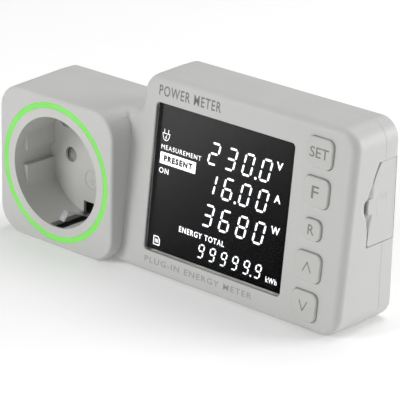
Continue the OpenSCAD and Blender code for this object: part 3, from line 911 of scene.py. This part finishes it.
def symbol_pieces():
    """Two small symbols on the panel: a plug above the captions, a memory card at the foot."""
    x, up = 40.6, 48.2
    body = [(x - 1.7, up + 1.1), (x + 1.7, up + 1.1)]
    bowl = [(x + 1.5 * a, up + 0.9 + 2.3 * b) for a, b in arc((0, 0), 1, 180, 360, 6)]
    bolt = [(x + 0.35, up + 0.55), (x - 0.35, up - 0.2), (x + 0.3, up - 0.3), (x - 0.3, up - 1.0)]
    prongs = [[(x + side, up + 1.3), (x + side, up + 2.5)] for side in (-0.9, 0.9)]
    strokes = polyline(body, 0.2) + polyline(bowl, 0.2) + polyline(bolt, 0.16)
    for prong in prongs:
        strokes += polyline(prong, 0.22)
    left, foot = 39.2, 10.3
    card = [
        (left, foot), (left + 2.6, foot), (left + 2.6, foot + 2.1), (left + 1.8, foot + 2.9),
        (left, foot + 2.9), (left, foot),
    ]
    strokes += polyline(card, 0.3)
    for step in (0.7, 1.3, 1.9):
        strokes += polyline([(left + step, foot + 0.8), (left + step, foot + 2.0)], 0.26)
    piece = plates("readout_symbols", strokes, READOUT_OFF - INK, READOUT_OFF)
    finish_piece(piece, "housing", "readout")


def face_print():
    """Printing on the face and the keys, in generic words."""
    title = lettering(
        "title_print", "POWER METER", (37.9, 65.2), 62.5, 3.6, PRINT_OFF, INK, 0.014, 1.16
    )
    finish_piece(title, "housing", "print")
    line = lettering(
        "foot_print", "PLUG-IN ENERGY METER", (38.0, 85.8), 4.3, 2.1, PRINT_OFF, INK, 0.012, 1.2
    )
    finish_piece(line, "housing", "print_faint")
    legends = {
        "set": ("SET", 7.6, 3.5),
        "function": ("F", 2.9, 4.2),
        "reset": ("R", 2.6, 3.4),
    }
    for name, (text, width, height) in legends.items():
        up = KEY_ROWS[name][0]
        span = (KEY_X - width / 2, KEY_X + width / 2)
        piece = lettering(
            "legend_" + name, text, span, up - height / 2, height, KEY_PROUD + PRINT_OFF, 0.02, 0.01
        )
        finish_piece(piece, "key_" + name, "key_print")
    for name, way in (("up", 1), ("down", -1)):
        up = KEY_ROWS[name][0]
        rise = way * 1.6
        arrow = [(KEY_X - 1.6, up - rise), (KEY_X, up + rise), (KEY_X + 1.6, up - rise)]
        piece = plates(
            "legend_" + name, polyline(arrow, 0.42),
            KEY_PROUD + PRINT_OFF - INK, KEY_PROUD + PRINT_OFF,
        )
        finish_piece(piece, "key_" + name, "key_print")


# ---------------------------------------------------------------- card flap
FLAP_EDGE = [
    (7.3, 56.2), (5.3, 52.9), (3.5, 48.9), (2.0, 45.4), (1.6, 42.3), (1.8, 39.3),
    (2.3, 34.3), (2.0, 30.4),
]                                         # the flap's wavy front edge, depth and height


def smooth_run(points, steps=5):
    """A curve through the points (Catmull-Rom)."""
    padded = [points[0]] + points + [points[-1]]
    run = []
    for p0, p1, p2, p3 in zip(padded, padded[1:], padded[2:], padded[3:]):
        for k in range(steps):
            t = k / steps
            run.append(tuple(
                0.5 * (2 * b + (c - a) * t + (2 * a - 5 * b + 4 * c - d) * t ** 2
                       + (3 * b - a - 3 * c + d) * t ** 3)
                for a, b, c, d in zip(p0, p1, p2, p3)
            ))
    return run + [points[-1]]


def card_flap():
    """Flap with a wavy front edge, flush with the drafted side, and two thumb bevels."""
    foot, head, rear = 28.9, 56.5, 14.9
    corner = 0.9
    outline = smooth_run(FLAP_EDGE)
    outline += arc((FLAP_EDGE[-1][0] + corner, foot + corner), corner, 180, 270, 5)
    outline += [(SPLIT, foot), (SPLIT + 0.3, foot - 0.12), (rear, foot - 0.12), (rear, head)]
    outline.append((FLAP_EDGE[0][0] + 1.2, head))
    middle = Vector((8.5, 42.6))

    def ring(depth, inset):
        """The flap's outline below its surface, drawn in towards the middle."""
        points = []
        for y, z in outline:
            inwards = (middle - Vector((y, z))).normalized() * inset
            y, z = y + inwards.x, z + inwards.y
            points.append((RIGHT - draft_at(y) - depth, y, z))
        return points

    plate = loft("flap_plate", [ring(1.5, 0), ring(0.3, 0), ring(0.1, 0.08), ring(0.0, 0.3)])
    knuckle = cad_copy("card_flap", "card_flap_moulded")
    reach = 10
    behind = block(
        "flap_knuckle_cutter",
        (RIGHT - reach, rear - 0.3, foot - reach),
        (RIGHT + reach, rear + 3, head + reach),
    )
    combine(knuckle, behind, "INTERSECT")
    flap = combine(knuckle, plate, "UNION")
    for wide, fine in (((2.0, 45.2), (4.2, 50.8)), ((1.8, 40.0), (2.3, 34.2))):
        rings = []
        for (y, z), width in ((wide, 2.4), (fine, 0.0)):
            surface = RIGHT - draft_at(y)
            rings.append([
                (surface + 0.3, y + width + 0.1, z), (surface - 1.1, y, z),
                (surface - 1.1, y - 1.5, z), (surface + 0.3, y - 1.5, z),
            ])
        combine(flap, loft("thumb_bevel", rings), "DIFFERENCE")
    soften(flap, 0)
    return stand_for(flap, "card_flap")


def card_symbol():
    """A faint raised memory card on the flap."""
    y, z = 8.6, 38.5
    card = [
        (y - 2.4, z), (y + 2.4, z), (y + 2.4, z + 7.6), (y - 1.0, z + 7.6), (y - 2.4, z + 6.2),
        (y - 2.4, z),
    ]
    strokes = polyline(card, 0.35)
    for step in (-0.6, 0.5, 1.6):
        strokes += polyline([(y + step, z + 5.2), (y + step, z + 6.8)], 0.35)

    def on_side(a, b, lift):
        return (RIGHT - draft_at(a) + lift, a, b)

    piece = slabs("card_symbol", strokes, on_side, -0.06, 0.015)
    finish_piece(piece, "card_flap", "shell")


# ---------------------------------------------------------------- spring
def tube(name, path, radius, sides=10):
    """A round wire along a path, with capped ends."""
    rings = []
    for k, point in enumerate(path):
        before, after = path[max(k - 1, 0)], path[min(k + 1, len(path) - 1)]
        along = (Vector(after) - Vector(before)).normalized()
        side = along.cross(Vector((0, 0, 1))).normalized()
        up = side.cross(along)
        rings.append([
            Vector(point) + radius * (cos(2 * pi * i / sides) * side + sin(2 * pi * i / sides) * up)
            for i in range(sides)
        ])
    return loft(name, rings)


def shutter_spring():
    """Compression spring of round wire, its turns closer at both ends."""
    low, high = box("shutter_spring")
    wire = 0.15
    turns, steps = 8, 28
    radius = (high.x - low.x) / 2 - wire - SKIN
    centre = (low + high) / 2
    foot, head = low.z + wire + SKIN, high.z - wire - SKIN
    path = []
    for k in range(turns * steps + 1):
        share = k / (turns * steps)
        ends = 0.5 - 0.5 * cos(pi * share)
        rise = 0.75 * share + 0.25 * ends
        angle = 2 * pi * k / steps
        path.append((
            centre.x + radius * cos(angle), centre.y + radius * sin(angle), foot + (head - foot) * rise
        ))
    coil = tube("shutter_spring_coil", path, wire)
    coil.data.shade_smooth()
    stand_for(coil, "shutter_spring")
    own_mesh(coil)


# ---------------------------------------------------------------- camera, floor, lights
def camera():
    """The camera, at the place, angles and lens fitted to the recess, the ring and both blocks."""
    position = Vector((539.9, -553.8, 308.9)) * MM
    azimuth, elevation, roll = radians(41.36), radians(20.91), radians(1.26)
    back = Vector((
        sin(azimuth) * cos(elevation), -cos(azimuth) * cos(elevation), sin(elevation)
    ))
    right = (-back).cross(Vector((0, 0, 1))).normalized()
    up = right.cross(-back)
    turned_right = cos(roll) * right + sin(roll) * up
    turned_up = -sin(roll) * right + cos(roll) * up
    data = bpy.data.cameras.new("camera")
    data.sensor_width = 36
    data.lens = 211.62
    data.clip_start = 0.05
    data.clip_end = 20
    eye = bpy.data.objects.new("camera", data)
    rotation = Matrix((turned_right, turned_up, back)).transposed().to_4x4()
    eye.matrix_world = Matrix.Translation(position) @ rotation
    scene.collection.objects.link(eye)
    scene.camera = eye


def area_light(name, position, target, size, power):
    """A soft white light; size in metres, power in watts."""
    data = bpy.data.lights.new(name, "AREA")
    data.shape = "RECTANGLE"
    data.size, data.size_y = size
    data.energy = power
    light = bpy.data.objects.new(name, data)
    light.location = position
    aim = Vector(target) - Vector(position)
    light.rotation_euler = aim.to_track_quat("-Z", "Y").to_euler()
    scene.collection.objects.link(light)


def studio():
    """White floor, three soft lights and a pale surround."""
    floor_mesh = bpy.data.meshes.new("floor")
    reach = 6.0
    floor_mesh.from_pydata(
        [(-reach, -reach, 0), (reach, -reach, 0), (reach, reach, 0), (-reach, reach, 0)],
        [], [(0, 1, 2, 3)],
    )
    floor = bpy.data.objects.new("floor", floor_mesh)
    scene.collection.objects.link(floor)
    floor.data.materials.append(
        plastic("floor_paper", (0.93, 0.93, 0.93, 1), 0.9, grain=300, spread=0.004, specular=0.1)
    )
    paper = floor.data.materials[0].node_tree.nodes["Principled BSDF"]
    paper.inputs["Emission Color"].default_value = (1, 1, 1, 1)
    paper.inputs["Emission Strength"].default_value = 0.14
    middle = (0.05, 0, 0.03)
    area_light("key", (-0.33, -0.80, 0.43), middle, (0.42, 0.42), 4.4)
    area_light("rim", (0.85, 0.75, 0.35), (0.12, 0, 0.04), (0.6, 0.6), 7.5)
    area_light("top", (0.1, 0.5, 1.3), middle, (1.0, 1.0), 9)
    world = bpy.data.worlds.new("studio")
    world.use_nodes = True
    world.node_tree.nodes["Background"].inputs["Color"].default_value = (1, 1, 1, 1)
    world.node_tree.nodes["Background"].inputs["Strength"].default_value = 0.25
    scene.world = world
    scene.view_settings.view_transform = "Standard"


# ---------------------------------------------------------------- build
camera()
studio()
front_shell()
rear_shell()
for key_name, (key_up, key_width, key_height) in KEY_ROWS.items():
    key(key_name, key_up, key_width, key_height)
for node_name, node_width in SOFTENED.items():
    softened_node(node_name, node_width)
socket_cup()
earth_strap()
card_flap()
card_symbol()
shutter_spring()
housing_screws()
recess_mark()
readout()
face_print()
for node_name, node_object in frame["nodes"].items():
    if not node_object.hide_render:
        material_of = MATERIALS[SLOT_OF[node_name]]
        if not node_object.material_slots:
            node_object.data.materials.append(material_of)
        for material_slot in node_object.material_slots:
            material_slot.material = material_of
